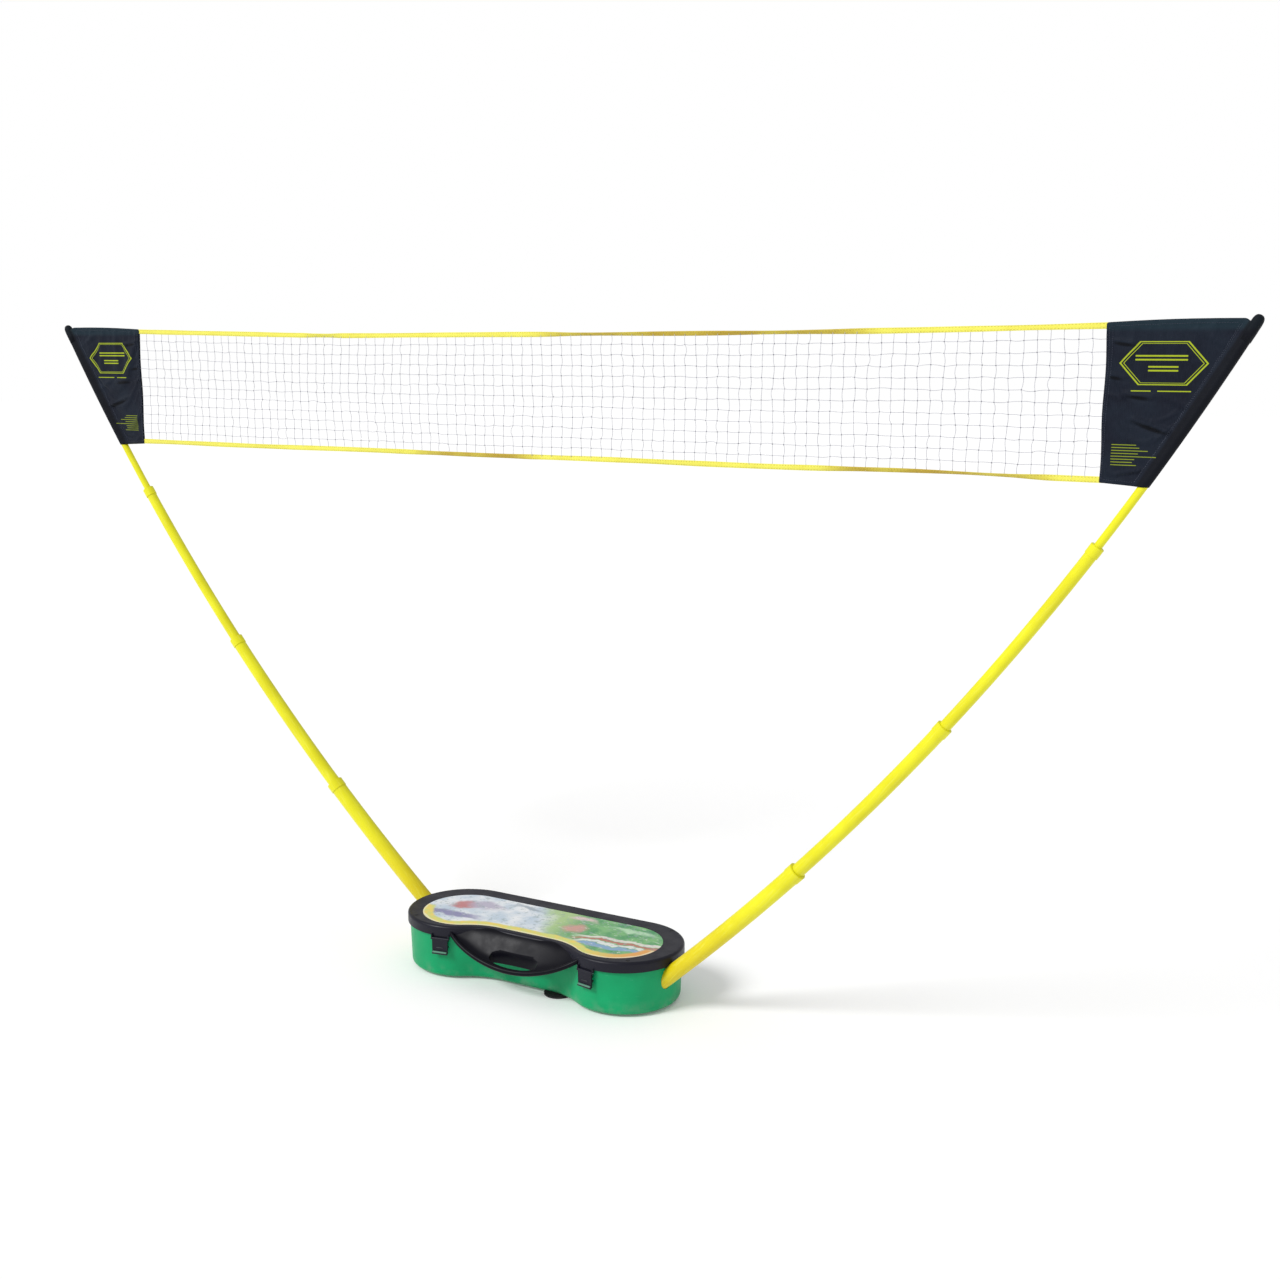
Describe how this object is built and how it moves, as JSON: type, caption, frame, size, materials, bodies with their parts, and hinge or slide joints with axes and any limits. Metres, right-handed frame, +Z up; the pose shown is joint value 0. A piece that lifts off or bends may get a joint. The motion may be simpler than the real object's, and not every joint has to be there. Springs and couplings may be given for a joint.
{
  "type": "portable net on poles",
  "caption": "Free-standing badminton-type net on two bowed telescopic poles that plug into a kidney-shaped carry case with a hinged, latched lid and a handle.",
  "frame": {"origin": "on the floor, under the middle of the case, in the plane of the net", "axes": "+X along the net, +Y to the back of the case (away from the carry handle), +Z up"},
  "size_m": [3.0674, 0.313, 1.5553],
  "materials": {
    "case_green": "satin moulded",
    "lid_black": "semi-gloss moulded",
    "label_print": "glossy printed sheet",
    "pole_yellow": "satin",
    "inner_plastic": "matte",
    "fastener_steel": "zinc plated",
    "rubber_black": "matte",
    "sleeve_fabric": "woven nylon",
    "net_string": "knotted string",
    "tape_yellow": "woven tape"
  },
  "bodies": {
    "case": {"case_shell": "case_green", "pole_socket_left": "inner_plastic", "pole_socket_right": "inner_plastic", "socket_screws": "fastener_steel", "floor_pads": "rubber_black", "front_foot": "rubber_black", "hinge_case_knuckles": "lid_black", "hinge_pins": "fastener_steel", "pole_left_section_1": "pole_yellow", "pole_left_collar_1": "pole_yellow", "pole_left_end_plug": "inner_plastic", "pole_right_section_1": "pole_yellow", "pole_right_collar_1": "pole_yellow", "pole_right_end_plug": "inner_plastic"},
    "lid": {"lid_frame": "lid_black", "carry_handle": "lid_black", "lid_label": "label_print", "lid_screws": "fastener_steel", "hinge_lid_knuckles": "lid_black", "latch_pin_left": "fastener_steel", "latch_pin_right": "fastener_steel"},
    "latch_left": {"latch_left": "lid_black"},
    "latch_right": {"latch_right": "lid_black"},
    "pole_left_2": {"pole_left_section_2": "pole_yellow", "pole_left_bushing_2": "inner_plastic", "pole_left_collar_2": "pole_yellow"},
    "pole_left_3": {"pole_left_section_3": "pole_yellow", "pole_left_bushing_3": "inner_plastic", "pole_left_collar_3": "pole_yellow"},
    "pole_left_4": {"pole_left_section_4": "pole_yellow", "pole_left_bushing_4": "inner_plastic", "pole_left_tip_cap": "inner_plastic", "net_sleeve_left": "sleeve_fabric"},
    "pole_right_2": {"pole_right_section_2": "pole_yellow", "pole_right_bushing_2": "inner_plastic", "pole_right_collar_2": "pole_yellow"},
    "pole_right_3": {"pole_right_section_3": "pole_yellow", "pole_right_bushing_3": "inner_plastic", "pole_right_collar_3": "pole_yellow"},
    "pole_right_4": {"pole_right_section_4": "pole_yellow", "pole_right_bushing_4": "inner_plastic", "pole_right_tip_cap": "inner_plastic", "net_sleeve_right": "sleeve_fabric"},
    "net": {"net_mesh": "net_string", "net_top_tape": "tape_yellow", "net_bottom_tape": "tape_yellow"}
  },
  "joints": [
    {"name": "lid_hinge", "type": "hinge", "parent": "case", "child": "lid", "pos_m": [0, 0.1365, 0.108], "axis": [-1, 0, 0], "range_deg": [0, 105]},
    {"name": "latch_left_hinge", "type": "hinge", "parent": "lid", "child": "latch_left", "pos_m": [-0.20311, -0.1519, 0.1045], "axis": [-0.9844, -0.1758, 0], "range_deg": [0, 100]},
    {"name": "latch_right_hinge", "type": "hinge", "parent": "lid", "child": "latch_right", "pos_m": [0.20311, -0.1519, 0.1045], "axis": [-0.9844, 0.1758, 0], "range_deg": [0, 100]},
    {"name": "pole_left_slide_2", "type": "hinge", "parent": "case", "child": "pole_left_2", "pos_m": [3.39224, 0.17727, 4.26722], "axis": [0.036, -0.9994, 0], "range_deg": [0, 4.08]},
    {"name": "pole_left_slide_3", "type": "hinge", "parent": "pole_left_2", "child": "pole_left_3", "pos_m": [3.39224, 0.17727, 4.26722], "axis": [0.036, -0.9994, 0], "range_deg": [0, 4.08]},
    {"name": "pole_left_slide_4", "type": "hinge", "parent": "pole_left_3", "child": "pole_left_4", "pos_m": [3.39224, 0.17727, 4.26722], "axis": [0.036, -0.9994, 0], "range_deg": [0, 1.22]},
    {"name": "pole_right_slide_2", "type": "hinge", "parent": "case", "child": "pole_right_2", "pos_m": [-3.39224, -0.17727, 4.26722], "axis": [-0.036, 0.9994, 0], "range_deg": [0, 4.08]},
    {"name": "pole_right_slide_3", "type": "hinge", "parent": "pole_right_2", "child": "pole_right_3", "pos_m": [-3.39224, -0.17727, 4.26722], "axis": [-0.036, 0.9994, 0], "range_deg": [0, 4.08]},
    {"name": "pole_right_slide_4", "type": "hinge", "parent": "pole_right_3", "child": "pole_right_4", "pos_m": [-3.39224, -0.17727, 4.26722], "axis": [-0.036, 0.9994, 0], "range_deg": [0, 1.22]},
    {"name": "net_lower", "type": "slide", "parent": "case", "child": "net", "axis": [0, 0, -1], "range_m": [0, 0.72], "deforming": ["net_mesh", "net_top_tape", "net_bottom_tape"]}
  ],
  "couplings": [
    {"joint": "pole_left_slide_3", "follows": "pole_left_slide_2", "ratio": 1},
    {"joint": "pole_left_slide_4", "follows": "pole_left_slide_2", "ratio": 0.3},
    {"joint": "pole_right_slide_2", "follows": "pole_left_slide_2", "ratio": 1},
    {"joint": "pole_right_slide_3", "follows": "pole_left_slide_2", "ratio": 1},
    {"joint": "pole_right_slide_4", "follows": "pole_left_slide_2", "ratio": 0.3},
    {"joint": "net_lower", "follows": "pole_left_slide_2", "m_per_rad": 10.1}
  ]
}
